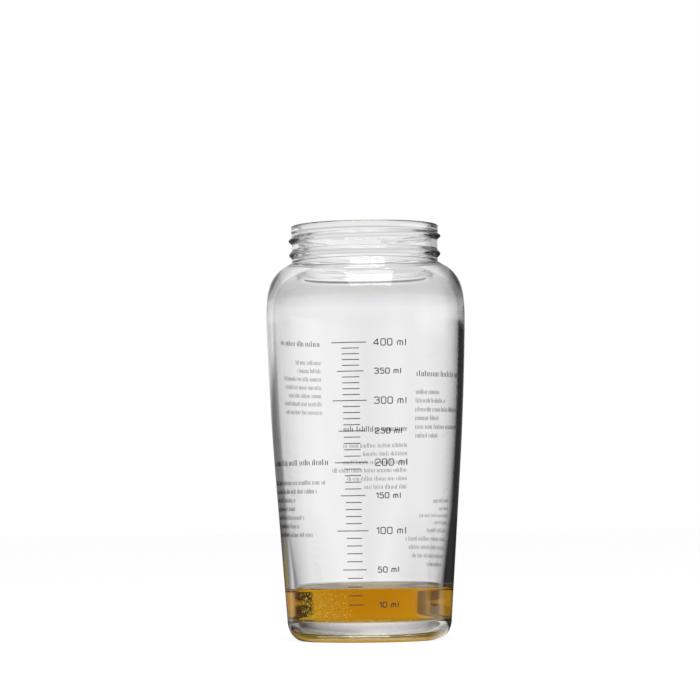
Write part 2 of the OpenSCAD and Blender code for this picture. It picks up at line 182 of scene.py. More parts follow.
corner_z = floor_t + floor_r
corner_mid = float(inside(corner_z)) - floor_r
body_z = near_top(heel_h + heel_gap, neck_z - fillet_drop)
neck_rows = heights(neck_z + fillet_up, jar_h - rim_r, row_neck)
hollow_z = near_top(corner_z, neck_z - wall)[::-1]
ring_in = foot_r - foot_ring
punt_r = heights(0, ring_in, 3)
glass_profile = np.concatenate([
    np.stack([punt_r, punt * (1 - ease((punt_r - punt_flat) / (ring_in - punt_flat)))], 1),
    line(ring_in, 0, foot_r, 0, 2),
    arc(0, 0, 1, -90, 0, 24) * [heel_in, heel_h] + [foot_r, heel_h],
    np.stack([outside(body_z), body_z], 1),
    arc(neck_r + fillet_r, neck_z + fillet_up, fillet_r, 232, 182, 8),
    np.stack([np.full_like(neck_rows, neck_r), neck_rows], 1),
    arc(neck_r + rim_band - rim_r, jar_h - rim_r, rim_r, 0, 90, 9),
    arc(bore_r + rim_r, jar_h - rim_r, rim_r, 90, 180, 9),
    line(bore_r, jar_h - rim_r - 1, bore_r, neck_z - wall, 10),
    np.stack([inside(hollow_z), hollow_z], 1),
    arc(corner_mid, corner_z, floor_r, -corner_lean, -90, 14),
    line(corner_mid - 2, floor_t, 0, floor_t, 6),
    [[0, floor_t]],
])
angle = np.linspace(0, 360, glass_turns, endpoint=False)
turned = (angle + 180) % 360 - 180
rows_r, rows_z = glass_profile[:, :1], glass_profile[:, 1:]
outer = np.arange(len(glass_profile))[:, None] <= np.argmax(glass_profile[:, 1])
grow = np.sqrt(np.clip((thread_end - np.abs(turned)) / thread_fade, 0, 1))
thread_z = jar_h - thread_drop + thread_pitch * turned / 360
ridge = thread_out * grow * bump((rows_z - thread_z) / thread_half)
collar = collar_out * bump((rows_z - (jar_h - collar_drop)) / collar_half)
band_z = jar_h - rim_band_h - rim_band_step
band = rim_band * ease((rows_z - band_z) / rim_band_step) * (rows_r <= neck_r)
glass_r = rows_r + outer * (rows_z > neck_z) * (np.maximum(ridge, collar) + band)
points, faces = lathe_grid(glass_r, glass_profile[:, 1], glass_turns)
glass = mesh_of("glass_jar_clear", points, faces)
closed(glass)


class Wire:
    """One output socket of a node tree. Arithmetic on it adds Math nodes."""

    def __init__(self, tree, socket=None):
        self.tree = tree
        self.socket = socket

    def add(self, kind, settings=None, values=None, out=0):
        """A node of this type, its settings made first, then its sockets set or linked."""
        node = self.tree.nodes.new("ShaderNode" + kind)
        for key, value in (settings or {}).items():
            if key == "stops":
                ramp = node.color_ramp.elements
                while len(ramp) < len(value):
                    ramp.new(1)
                for stop, (place, colour) in zip(ramp, value):
                    stop.position = place
                    stop.color = (*colour, 1) if isinstance(colour, tuple) else (colour,) * 3 + (1,)
            else:
                setattr(node, key, value)
        for key, value in (values or {}).items():
            if isinstance(value, Wire):
                self.tree.links.new(value.socket, node.inputs[key])
            else:
                node.inputs[key].default_value = value
        return Wire(self.tree, node.outputs[out] if len(node.outputs) else None)

    def math(self, operation, *parts):
        """A Math node that works on these wires and numbers."""
        return self.add("Math", {"operation": operation}, dict(enumerate(parts)))

    def __add__(self, other):
        return self.math("ADD", self, other)

    def __sub__(self, other):
        return self.math("SUBTRACT", self, other)

    def __rsub__(self, other):
        return self.math("SUBTRACT", other, self)

    def __mul__(self, other):
        return self.math("MULTIPLY", self, other)

    def __gt__(self, other):
        return self.math("GREATER_THAN", self, other)

    def __lt__(self, other):
        return self.math("LESS_THAN", self, other)

    __radd__, __rmul__ = __add__, __mul__


def material(name):
    """A new material and a wire into its empty tree."""
    mat = bpy.data.materials.new(name)
    mat.use_nodes = True
    mat.node_tree.nodes.clear()
    return mat, Wire(mat.node_tree)


def clear(name, ior, shade=1, shine=1, tint=None, density=0):
    """Smooth clear stuff that bends light, and takes colour out of it by its depth. shine
    0 leaves out what it mirrors head on, for a face where glass and liquid meet."""
    mat, wire = material(name)
    surface = wire.add("BsdfPrincipled", None, {
        "Base Color": (shade, shade, shade, 1), "Roughness": 0.0, "IOR": ior,
        "Transmission Weight": 1.0, "Specular Tint": (shine, shine, shine, 1)})
    values = {"Surface": surface}
    if tint:
        depth = {"Color": (*tint, 1), "Density": density}
        values["Volume"] = wire.add("VolumeAbsorption", None, depth)
    wire.add("OutputMaterial", None, values)
    return mat


# Where oil lies on the glass the two hardly mirror, so those faces have their own material
glass.data.materials.append(clear("clear_glass", glass_ior, glass_clear))
glass.data.materials.append(clear("wet_glass", glass_ior, 1, 0))
centre = np.zeros(len(glass.data.polygons) * 3)
glass.data.polygons.foreach_get("center", centre)
x, y, z = centre.reshape(-1, 3).T / mm
wet = (z < wet_top) & (z > floor_t - 0.1) & (np.hypot(x, y) < inside(z) + 0.2)
glass.data.polygons.foreach_set("material_index", wet.astype(np.int32))
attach(glass, "jar")
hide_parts("glass_jar")

# The volume scale: lines of dark ink fired onto the outside of the glass, one for each
# 10 ml, with a number beside every 50 ml and at 10 ml.
line_w, line_points, ink_in, ink_out = 0.34, 14, 0.03, 0.05
long_line, half_line, short_line = (-20, 0), (-17, -1.6), (-14, -4)
scale_zero, scale_top, scale_step = 7.6, 400, 10
slice_t = 1.0
slice_z = np.arange(floor_t, neck_z, slice_t)
slice_mid = slice_z + slice_t / 2
in_corner = np.sqrt(np.maximum(0, floor_r ** 2 - (corner_z - slice_mid) ** 2))
slice_r = np.where(slice_mid < corner_z, corner_mid + in_corner, inside(slice_mid))
filled = np.concatenate([[0], np.cumsum(np.pi * slice_r ** 2 * slice_t / 1000)[:-1]])


def level(ml):
    """Height of a mark: where the slices of the hollow below it add up to its volume and
    to what lies under the zero of the scale."""
    return float(np.interp(ml + scale_zero, filled, slice_z))


def rounded(corners, radius, steps=6):
    """A path through these corners, each one cut off by a curve that starts and ends
    this far from it, with (1-t)^2 of the way in and t^2 of the way out."""
    corners = [np.array(c, float) for c in corners]
    path = [corners[0][None]]
    t = np.linspace(0, 1, steps)[:, None]
    for before, at, after in zip(corners, corners[1:], corners[2:]):
        a, b = before - at, after - at
        a, b = (v / np.linalg.norm(v) * min(radius, np.linalg.norm(v) * 0.5) for v in (a, b))
        path.append(at + a * (1 - t) ** 2 + b * t ** 2)
    return np.concatenate(path + [corners[-1][None]])


def ribbon(path, width):
    """A flat strip of ink along a path in the print's plane: each point is moved half the
    width to both sides, square to the path, and given an inner and an outer face."""
    path = path[np.append(True, np.linalg.norm(np.diff(path, axis=0), axis=1) > 1e-4)]
    step = np.diff(path, axis=0)
    step /= np.linalg.norm(step, axis=1)[:, None]
    ahead, behind = np.vstack([step, step[-1:]]), np.vstack([step[:1], step])
    along = ahead + behind
    along /= np.linalg.norm(along, axis=1)[:, None]
    square = np.stack([-along[:, 1], along[:, 0]], 1)
    square /= np.maximum((along * ahead).sum(1), 0.6)[:, None]
    left, right = path + square * width / 2, path - square * width / 2
    rows = np.stack([left, right, right, left], 1)
    depth = np.broadcast_to([-ink_in, -ink_in, ink_out, ink_out], rows.shape[:2])[..., None]
    points = np.concatenate([rows, depth], 2).reshape(-1, 3)
    i, k = np.meshgrid(np.arange(len(path) - 1), np.arange(4), indexing="ij")
    j = (k + 1) % 4
    faces = np.stack([i * 4 + k, i * 4 + 4 + k, i * 4 + 4 + j, i * 4 + j], 2).reshape(-1, 4)
    last = len(points) - 4
    ends = np.array([[0, 1, 2, 3], [last + 3, last + 2, last + 1, last]])
    return points, np.concatenate([faces, ends])


def print_on_glass(name, strokes):
    """One object from strokes of (path, width, angle, height): each path lies in a plane
    that is wrapped round the jar at that angle from the front and that height."""
    all_points, all_faces, count = [], [], 0
    for path, width, phi, z in strokes:
        p, f = ribbon(np.asarray(path, float), width)
        high = z + p[:, 1]
        turn = math.radians(phi) + p[:, 0] / float(outside(z))
        r = outside(high) + p[:, 2]
        all_points.append(np.stack([r * np.sin(turn), -r * np.cos(turn), high], 1))
        all_faces.append(f + count)
        count += len(p)
    obj = mesh_of(name, np.concatenate(all_points), np.concatenate(all_faces).tolist(), False)
    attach(obj, "jar")
    return obj


strokes = []
for ml in range(scale_step, scale_top + 1, scale_step):
    z = level(ml)
    start, end = long_line if ml % 100 == 0 else half_line if ml % 50 == 0 else short_line
    length = math.radians(end - start) * float(outside(z))
    along = np.stack([np.linspace(0, length, line_points), np.zeros(line_points)], 1)
    strokes.append((along, line_w, start, z))
scale_lines = print_on_glass("volume_lines", strokes)
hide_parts("volume_marks")

# The volume numbers: the same ink, drawn as with a pen. Each sign has a width and a few
# strokes, which run through corners given in units of the sign's height.
signs = {
    "0": (0.72, [[(0.36, 1), (0, 1), (0, 0), (0.72, 0), (0.72, 1), (0.35, 1)]]),
    "1": (0.34, [[(0, 0.80), (0.34, 1), (0.34, 0)]]),
    "2": (0.72, [[(0, 0.78), (0, 1), (0.72, 1), (0.72, 0.56), (0, 0.30), (0, 0)],
                 [(-0.07, 0), (0.76, 0)]]),
    "3": (0.72, [[(0, 0.84), (0, 1), (0.70, 1), (0.70, 0.53), (0.24, 0.53)],
                 [(0.24, 0.53), (0.72, 0.53), (0.72, 0), (0, 0), (0, 0.16)]]),
    "4": (0.80, [[(0.60, 0), (0.60, 1), (0, 0.34), (0, 0.27), (0.80, 0.27)]]),
    "5": (0.72, [[(0.68, 1), (0.06, 1), (0.03, 0.58), (0.72, 0.62), (0.72, 0), (0, 0),
                  (0, 0.14)]]),
    "m": (0.86, [[(0, 0), (0, 0.70), (0.86, 0.70), (0.86, 0)], [(0.43, 0.68), (0.43, 0)]]),
    "l": (0.0, [[(0, 0), (0, 1)]]),
}
gap, unit_gap, last_gap, number_w = 0.34, 0.92, 0.5, 0.38
big_number, small_number, round_corner, sharp_corner = 2.5, 2.05, 0.24, 0.04
# Where each number starts, in degrees from the front
number_at = {400: 4.4, 350: 4.8, 300: 4.6, 250: 4.9, 200: 4.9, 150: 5.1, 100: 5.2, 50: 5.9, 10: 6.8}
strokes = []
for ml, phi in number_at.items():
    tall = small_number if ml % 100 else big_number
    x = 0
    for sign in f"{ml} ml":
        if sign == " ":
            x += unit_gap - gap
            continue
        width, paths = signs[sign]
        x -= (gap - last_gap) if sign == "l" else 0
        for path in paths:
            path = rounded(path, round_corner if sign in "0235m" else sharp_corner) + [x, -0.5]
            strokes.append((path * tall, number_w, phi, level(ml)))
        x += width + gap
volume_numbers = print_on_glass("volume_numbers", strokes)

# The small print: five blocks round the jar in the same ink, four of them with a bolder
# heading. Each row is made of groups of short upright strokes, some of them taller.
row_drop, row_tall, row_w, row_step = 3.45, 1.9, 0.18, 0.62
head_tall, head_w, head_step = 2.3, 0.36, 0.95
step_range, group_range, tall_part, low_stroke = (0.8, 1.25), (5, 12), 0.22, 0.72
draw = np.random.default_rng(7)
strokes = []


def print_block(phi, z, head, rows, first_gap=7.2):
    """A heading of this length, if any, at this angle and height, and rows of these lengths
    under it. A step lies between two strokes, and one more between two groups."""
    lines = [(z, head, head_tall, head_w, head_step)] if head else []
    for i, length in enumerate(rows):
        lines.append((z - first_gap - i * row_drop, length, row_tall, row_w, row_step))
    for high, length, tall, width, step in lines:
        x = np.cumsum(step * draw.uniform(*step_range, int(length / step) + 4))
        group_end = np.cumsum(draw.integers(*group_range, len(x)))
        x = x + np.searchsorted(group_end, np.arange(len(x))) * step
        tops = np.where(draw.random(len(x)) < tall_part, tall, low_stroke * tall)
        for at, top in zip(x[x < length], tops):
            strokes.append(([(at, -tall / 2), (at, top - tall / 2)], width, phi, high))


print_block(29, 106.2, 29, (13.5, 16.8, 28, 12.4, 29, 11.8))
print_block(279, 71.6, 37, (35, 31, 18.5, 17.5, 22.5, 19, 26.5), 7.9)
print_block(209.5, 121.8, 28, (15, 14, 25, 24, 21, 26, 25), 7.8)
print_block(152.5, 86.4, 28.8, (29, 20, 29, 34, 27, 19.5), 6.9)
print_block(104, 63.0, 0, (16, 11, 24, 13.5, 18, 30, 28, 26, 16), 7.0)
recipe_rows = print_on_glass("recipe_rows", strokes)

mat, wire = material("fired_ink")
place = wire.add("TexCoord", None, None, "Object")
speckle = wire.add("TexNoise", None, {"Vector": place, "Scale": 2600.0, "Detail": 3.0})
ink_tones = [(0.3, (0.022, 0.022, 0.024)), (0.7, (0.045, 0.045, 0.048))]
shade = wire.add("ValToRGB", {"stops": ink_tones}, {0: speckle})
relief = wire.add("Bump", None, {"Height": speckle, "Strength": 0.2, "Distance": 0.00002})
wire.add("OutputMaterial", None, {"Surface": wire.add("BsdfPrincipled", None, {
    "Base Color": shade, "Roughness": speckle * 0.3 + 0.4, "Normal": relief})})
for obj in (scale_lines, volume_numbers, recipe_rows):
    obj.data.materials.append(mat)

# The oil: golden salad oil that fills the jar to about the 27 ml mark. It lies on the
# glass without a gap, and its surface dips a little and creeps up at the edge.
oil_level, oil_dip, oil_bite, creep, creep_reach, oil_turns = 21.5, 0.15, 0.08, 0.15, 0.9, 192
oil_ior, oil_colour, oil_density = 1.47, (0.885, 0.735, 0.01), 100
oil_z = heights(corner_z, oil_level, 0.8)
rim_here = float(inside(oil_level)) + oil_bite
top_r = rim_here - np.array([0, 0.3, 0.7, 1.2, 1.8, 2.6, 3.8, 6, 12, 20])
oil_profile = np.concatenate([
    [[0, floor_t - oil_bite]],
    line(2, floor_t - oil_bite, corner_mid, floor_t - oil_bite, 5),
    arc(corner_mid, corner_z, floor_r + oil_bite, -90, -corner_lean, 14),
    np.stack([inside(oil_z) + oil_bite, oil_z], 1),
    np.stack([top_r, oil_level - oil_dip + creep * np.exp((top_r - rim_here) / creep_reach)], 1),
    [[0, oil_level - oil_dip]],
])
oil_points, oil_faces = lathe_grid(oil_profile[:, 0], oil_profile[:, 1], oil_turns)
oil = mesh_of("oil_pool", oil_points, oil_faces)
closed(oil)
oil.data.materials.append(clear("golden_oil", oil_ior, 1, 0, oil_colour, oil_density))
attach(oil, "jar")
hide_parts("oil_fill")

# The froth: fine air bubbles that hang in the oil at the left, close to the glass. They
# are too small to see through and look pale yellow.
bubble_n, bubble_from, bubble_to, bubble_lean = 520, -62, -12, (1.3, 1.5)
bubble_small, bubble_big, bubble_low, bubble_high = 0.08, 0.3, 2.2, 1.6
bubble_skin, bubble_deep = 0.5, 2.2
ball = bmesh.new()
bmesh.ops.create_icosphere(ball, subdivisions=1, radius=1)
ball_points = np.array([v.co for v in ball.verts])
ball_faces = np.array([[v.index for v in f.verts] for f in ball.faces])
ball.free()
across = draw.beta(*bubble_lean, bubble_n)
bubble_phi = np.radians(bubble_from + (bubble_to - bubble_from) * across)
bubble_z = draw.uniform(floor_t + bubble_low, oil_level - bubble_high, bubble_n)
bubble_size = bubble_small + (bubble_big - bubble_small) * draw.random(bubble_n) ** 2
corner_in = corner_mid + np.sqrt(floor_r ** 2 - np.clip(corner_z - bubble_z, 0, floor_r) ** 2)
glass_in = np.minimum(inside(np.maximum(bubble_z, corner_z)), corner_in)
bubble_r = glass_in - bubble_skin - bubble_deep * draw.random(bubble_n) ** 1.6
bubble_at = np.stack([bubble_r * np.sin(bubble_phi), -bubble_r * np.cos(bubble_phi), bubble_z], 1)
bubble_points = bubble_at[:, None] + bubble_size[:, None, None] * ball_points
bubble_faces = np.arange(bubble_n)[:, None, None] * len(ball_points) + ball_faces
bubble_faces = bubble_faces.reshape(-1, 3).tolist()
bubbles = mesh_of("oil_bubbles", bubble_points.reshape(-1, 3), bubble_faces)
mat, wire = material("pale_froth")
place = wire.add("TexCoord", None, None, "Object")
speckle = wire.add("TexNoise", None, {"Vector": place, "Scale": 1500.0, "Detail": 2.0})
froth_tones = [(0.35, (0.95, 0.80, 0.12)), (0.65, (1.0, 0.92, 0.3))]
shade = wire.add("ValToRGB", {"stops": froth_tones}, {0: speckle})
relief = wire.add("Bump", None, {"Height": speckle, "Strength": 0.2, "Distance": 0.00002})
wire.add("OutputMaterial", None, {"Surface": wire.add("BsdfPrincipled", None, {
    "Base Color": shade, "Roughness": speckle * 0.3 + 0.1, "Normal": relief})})
bubbles.data.materials.append(mat)
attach(bubbles, "jar")

# The screw ring: brushed steel sheet, spun to shape with grip grooves round its side and
# rolled over at the top to hold its liner, which is pressed into it. It lies on the table.
ring_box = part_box("screw_ring")
lid_x = float(np.mean([c[0] for c in ring_box])) / mm
ring_low, ring_top = (c[2] / mm for c in ring_box)
ring_r = (ring_box[1][0] - ring_box[0][0]) / mm / 2
ring_edge, lip_r, sheet_t, ring_turns = 1.6, 28.95, 0.5, 192
groove_n, groove_depth, groove_half, groove_pitch, groove_mid = 3, 0.2, 0.56, 2.0, 0.45
hem_r = sheet_t / 2
ring_z = np.linspace(ring_low + hem_r, ring_top - ring_edge, 110)
groove_z = groove_mid * ring_top + groove_pitch * (np.arange(groove_n) - (groove_n - 1) / 2)
groove = bump((ring_z[:, None] - groove_z) / groove_half).max(1)
edge_mid = ring_r - ring_edge
ring_profile = np.concatenate([
    arc(ring_r - hem_r, ring_low + hem_r, hem_r, -180, 0, 8),
    np.stack([ring_r - groove_depth * groove, ring_z], 1),
    arc(edge_mid, ring_top - ring_edge, ring_edge, 0, 90, 12),
    line(edge_mid - 0.5, ring_top, lip_r + 0.3, ring_top, 4),
    arc(lip_r + hem_r, ring_top - hem_r, hem_r, 90, 270, 10),
    line(lip_r + 0.5, ring_top - sheet_t, edge_mid, ring_top - sheet_t, 4),
    arc(edge_mid, ring_top - ring_edge, ring_edge - sheet_t, 90, 0, 12),
])


def crease(obj, degrees=38):
    """Leaves the edges sharp where two faces meet at more than this angle."""
    obj.data.set_sharp_from_angle(angle=math.radians(degrees))


ring_points, ring_faces = lathe_grid(ring_profile[:, 0], ring_profile[:, 1], ring_turns)
ring = mesh_of("screw_ring_shell", ring_points + [lid_x, 0, 0], ring_faces)
closed(ring)
crease(ring)
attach(ring, "ring")
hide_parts("screw_ring")


def lid_place(wire):
    """Distance from the lid's axis, angle round it in turns, and height, in metres."""
    place = wire.add("TexCoord", None, None, "Object")
    x, y, z = (wire.add("SeparateXYZ", None, {0: place}, out) for out in "XYZ")
    x = x - lid_x * mm
    return wire.math("SQRT", x * x + y * y), wire.math("ARCTAN2", y, x) * (0.5 / math.pi), z


def finish(wire, colour, rough, metal, height, strength, distance, **more):
    """The surface of a dry piece: colour, roughness and relief that vary over it."""
    relief = wire.add("Bump", None, {"Height": height, "Strength": strength, "Distance": distance})
    wire.add("OutputMaterial", None, {"Surface": wire.add("BsdfPrincipled", None, {
        "Base Color": colour, "Roughness": rough, "Metallic": metal, "Normal": relief, **more})})


steel, wire = material("spun_steel")
r, turn, z = lid_place(wire)
streak_at = wire.add("CombineXYZ", None, {0: r, 1: z, 2: turn * 0.012})
fine = wire.add("TexNoise", None, {
    "Vector": streak_at, "Scale": 5200.0, "Detail": 4.0, "Roughness": 0.65})
broad = wire.add("TexNoise", None, {"Vector": streak_at, "Scale": 700.0, "Detail": 2.0})
grain = fine * 0.7 + broad * 0.3
steel_tones = [(0.32, (0.46, 0.46, 0.47)), (0.68, (0.62, 0.62, 0.62))]
tone = wire.add("ValToRGB", {"stops": steel_tones}, {0: grain})
finish(wire, tone, grain * 0.3 + 0.16, 1.0, fine, 0.25, 0.00002)
ring.data.materials.append(steel)

# The liner: black plastic moulded to the steel, with the inside thread and the lip that
# holds the pouring insert down. The grain is that of a spark-eroded mould.
black, wire = material("black_moulded")
place = wire.add("TexCoord", None, None, "Object")
grit = wire.add("TexNoise", None, {"Vector": place, "Scale": 2400.0, "Detail": 3.0, "Roughness": 0.6})
flow = wire.add("TexNoise", None, {"Vector": place, "Scale": 90.0, "Detail": 2.0})
black_tones = [(0.3, (0.022, 0.022, 0.024)), (0.7, (0.036, 0.036, 0.039))]
tone = wire.add("ValToRGB", {"stops": black_tones}, {0: grit * 0.4 + flow * 0.6})
finish(wire, tone, grit * 0.2 + flow * 0.14 + 0.3, 0.0, grit, 0.35, 0.00003)


def dress(node, mat):
    """Gives a CAD node that is shown as it is this material."""
    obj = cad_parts[node]
    obj.data.materials.clear()
    obj.data.materials.append(mat)


dress("ring_liner", black)

# The pouring insert: one black moulding that sits in the neck, with a skirt, a flange on the
# seal, a flat deck, a spout with a drip lip, and two barrels for the hinge pin.
skirt_low, flange_z, shelf_z, deck_z, deck_t = 1.5, 10.95, 12.95, 17.3, 2
flange_r, insert_r, skirt_r, chamber_r, strainer_r = 30.95, 28.6, 26.65, 25.15, 25.65
strainer_z, strainer_t = 2.7, 1.2
spout_r, spout_t, spout_h, spout_flare, spout_y, spout_foot = 6.5, 1.3, 4, 0.7, 14.5, 0.8
hinge_y, hinge_z, barrel_r, pin_r, pin_gap = 24.2, 20.05, 2.4, 1.2, 0.06
knuckle_l, lug_l, knuckle_gap, lug_sunk = 11, 3.4, 0.4, 0.5
soft, deck_round, cove_r, cove_drop, lip_round, mouth_round = 0.25, 1, 1.3, 0.45, 0.3, 0.5
insert_turns, bend_rows = 192, 6
deck_low = deck_z - deck_t
spout_top = deck_z + spout_h
strainer_top = strainer_z + strainer_t
spout_out = spout_r + spout_t
lip_out = spout_out + spout_flare
body_rows = np.concatenate([
    arc(chamber_r + soft, skirt_low + soft, soft, 180, 270, 4),
    arc(skirt_r - soft, skirt_low + soft, soft, -90, 0, 4),
    line(skirt_r, flange_z, flange_r - soft, flange_z, 3),
    arc(flange_r - soft, flange_z + soft, soft, -90, 0, 4),
    arc(flange_r - soft, shelf_z - soft, soft, 0, 90, 4),
    line(insert_r + 0.3, shelf_z, insert_r, shelf_z + 0.3, 2),
    line(insert_r, shelf_z + 0.6, insert_r, deck_z - deck_round, 3),
    arc(insert_r - deck_round, deck_z - deck_round, deck_round, 0, 90, 10),
])
spout_rows = np.concatenate([
    arc(spout_out + spout_foot, deck_z + spout_foot, spout_foot, 270, 180, 7),
    line(spout_out, deck_z + 1.2, spout_out, deck_z + 2.4, 3),
    arc(lip_out - cove_r, spout_top - cove_drop, cove_r, -40, -8, 5),
    arc(lip_out - lip_round, spout_top - lip_round, lip_round, 0, 90, 5),
    arc(spout_r + mouth_round, spout_top - mouth_round, mouth_round, 90, 180, 6),
    line(spout_r, spout_top - 1, spout_r, deck_low + lip_round, 5),
    arc(spout_r + lip_round, deck_low + lip_round, lip_round, 180, 270, 4),
])
under_rows = np.array([
    [chamber_r - 1, deck_low],
    [chamber_r - 0.3, deck_low - 0.1],
    [chamber_r, deck_low - 0.9],
    [chamber_r, 8],
    [chamber_r, strainer_top],
    [strainer_r, strainer_top],
    [strainer_r, strainer_z],
    [chamber_r, strainer_z],
])


def between(first, last):
    """Rows on straight lines between two rows of (radius, height, shift), without either."""
    t = np.arange(1, bend_rows + 1)[:, None] / (bend_rows + 1)
    return first * (1 - t) + last * t


def shifted(rows, shift):
    """Rows of (radius, height) with the distance of their centre from the lid's axis."""
    return np.column_stack([rows, np.full(len(rows), shift)])


body_rows = shifted(body_rows, 0)
spout_rows = shifted(spout_rows, -spout_y)
under_rows = shifted(under_rows, 0)
rows = np.concatenate([
    body_rows, between(body_rows[-1], spout_rows[0]),
    spout_rows, between(spout_rows[-1], under_rows[0]), under_rows])
insert_points, insert_faces = lathe_grid(rows[:, 0], rows[:, 1], insert_turns)
insert_points += np.repeat(rows[:, 2], insert_turns)[:, None] * [0, 1, 0] + [lid_x, 0, 0]


def barrel(x0, x1, reach_a, reach_b, lower, hole, edge=0.3):
    """A hinge barrel from x0 to x1: a tube round the pin whose outline is the barrel's
    circle, or where that lies further out, a block that joins it to its piece. The block's
    corner lies at reach_a sideways and at reach_b downwards if lower is set, or upwards on
    the front half. Each point lies at the nearer of the block's two faces on its ray."""
    a = np.linspace(0, 2 * np.pi, 96, endpoint=False)
    y, z = -np.cos(a), np.sin(a)
    with np.errstate(divide="ignore"):
        block = np.minimum(reach_a / np.abs(y), reach_b / np.abs(z))
    inside_block = (z < 0) if lower else ((z > 0) & (y < 0))
    out = np.where(inside_block, np.maximum(barrel_r, block), barrel_r)
    cut = np.full_like(a, hole)
    r = np.stack([cut, out - edge, out, out, out - edge, cut])
    x = np.array([x0, x0, x0 + edge, x1 - edge, x1, x1])[:, None] + 0 * r
    points = np.stack([x, hinge_y + r * y, hinge_z + r * z], 2).reshape(-1, 3)
    n, k = len(a), np.arange(len(a))
    i = np.arange(6)[:, None] * n
    j = np.roll(i, -1, 0)
    faces = np.stack([i + k, i + (k + 1) % n, j + (k + 1) % n, j + k], 2).reshape(-1, 4)
    return points + [lid_x, 0, 0], faces.tolist()


def joined(name, parts):
    """One object from several closed shells, with their normals turned outwards."""
    points, faces, count = [], [], 0
    for p, f in parts:
        points.append(np.asarray(p))
        faces += [[i + count for i in face] for face in f]
        count += len(p)
    obj = mesh_of(name, np.concatenate(points), faces)
    closed(obj, True)
    crease(obj)
    return obj


lug_from = knuckle_l / 2 + knuckle_gap
lug_down = hinge_z - deck_z + lug_sunk
lugs = [barrel(x, x + lug_l, barrel_r, lug_down, True, pin_r)
        for x in (lug_from, -lug_from - lug_l)]
insert = joined("pour_insert_moulding", [(insert_points, insert_faces)] + lugs)
insert.data.materials.append(black)
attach(insert, "insert")
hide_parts("pour_insert")

# The seal and the plug: moulded silicone, milky and slightly soft to the touch. The seal
# lies under the insert's flange, and the plug hangs in the cap's roof by its stem.
milky, wire = material("milky_silicone")
place = wire.add("TexCoord", None, None, "Object")
cloud = wire.add("TexNoise", None, {"Vector": place, "Scale": 260.0, "Detail": 3.0})
dust = wire.add("TexNoise", None, {"Vector": place, "Scale": 3200.0, "Detail": 2.0})
milky_tones = [(0.3, (0.56, 0.57, 0.58)), (0.7, (0.66, 0.67, 0.67))]
tone = wire.add("ValToRGB", {"stops": milky_tones}, {0: cloud})
milk = {"Coat Weight": 0.15, "Subsurface Weight": 0.2, "Subsurface Scale": 0.002}
finish(wire, tone, dust * 0.25 + 0.34, 0.0, dust, 0.2, 0.00002, **milk)
dress("neck_seal", milky)
dress("cap_plug", milky)

# The strainer and the hinge pin: plain steel, the one punched from rolled sheet and
# tumbled, the other drawn and cut to length.
plain_steel, wire = material("rolled_steel")
place = wire.add("TexCoord", None, None, "Object")
x, y, z = (wire.add("SeparateXYZ", None, {0: place}, out) for out in "XYZ")
drawn_out = wire.add("CombineXYZ", None, {0: x * 0.06, 1: y, 2: z})
rolled = wire.add("TexNoise", None, {"Vector": drawn_out, "Scale": 3600.0, "Detail": 4.0})
tumbled = wire.add("TexNoise", None, {"Vector": place, "Scale": 420.0, "Detail": 2.0})
rolled_tones = [(0.3, (0.44, 0.44, 0.45)), (0.7, (0.60, 0.60, 0.61))]
tone = wire.add("ValToRGB", {"stops": rolled_tones}, {0: rolled * 0.6 + tumbled * 0.4})
finish(wire, tone, rolled * 0.25 + tumbled * 0.15 + 0.14, 1.0, rolled, 0.2, 0.00002)
dress("strainer", plain_steel)
dress("hinge_pin", plain_steel)

# The flip cap: a shallow black moulding with a flat back, a thumb tab in front and a
# barrel behind, which turns on the pin between the insert's two.
cap_r, cap_t, cap_back, cap_low = 28.3, 1.6, 21.2, 17.65
roof_z, roof_top, rim_top, plate_rim, cap_edge = 21.8, 23.4, 23.85, 1.2, 1.0
tab_w, tab_out, tab_t, tab_corner, tab_edge, tab_sunk = 16, 3.2, 1.8, 2.5, 0.6, 1.9
cap_turns, cap_blend, knuckle_sunk, roof_round, skirt_round = 256, 60.0, 0.6, 0.6, 0.2


def cap_outline(inset):
    """Radius of the cap's outline at each angle, this far inside its edge: a circle with
    a flat back, blended where they meet. With p for cap_blend, the radius is the sum of
    both radii to the power minus p, and of that the power minus 1/p."""
    a = np.linspace(0, 2 * np.pi, cap_turns, endpoint=False)
    back = np.maximum(-np.cos(a), 1e-3)
    disc, flat = cap_r - inset, (cap_back - inset) / back
    return (disc ** -cap_blend + flat ** -cap_blend) ** (-1 / cap_blend)


def cap_rows(rows):
    """Radii and heights from rows of (share of the outline, inset, height)."""
    r = np.stack([share * cap_outline(inset) for share, inset, z in rows])
    z = np.array([z for share, inset, z in rows])
    return r, z


def round_over(inset, top, edge, n):
    """Rows of the cap's outline that round its upper edge by a quarter circle."""
    return [(1, inset + edge * (1 - math.cos(t)), top - edge * (1 - math.sin(t)))
            for t in np.radians(np.linspace(0, 90, n))]


roof_in = cap_t + roof_round
under_roof = [
    (0, roof_in, roof_z), (0.5, roof_in, roof_z), (1, roof_in, roof_z),
    (1, cap_t + 0.2, roof_z - 0.15), (1, cap_t, roof_z - roof_round)]
skirt_edge = [
    (1, cap_t, cap_low + skirt_round), (1, cap_t - skirt_round, cap_low),
    (1, skirt_round, cap_low), (1, 0, cap_low + skirt_round)]
recess = [
    (1, plate_rim - 0.1, rim_top), (1, plate_rim, rim_top - 0.1), (1, plate_rim, roof_top),
    (0.5, plate_rim, roof_top), (0, plate_rim, roof_top)]
cap_r_rows, cap_z_rows = cap_rows(
    under_roof + skirt_edge + round_over(0, rim_top, cap_edge, 9) + recess)
cap_points, cap_faces = lathe_grid(cap_r_rows, cap_z_rows, cap_turns)
cap_points = cap_points + [lid_x, 0, 0]


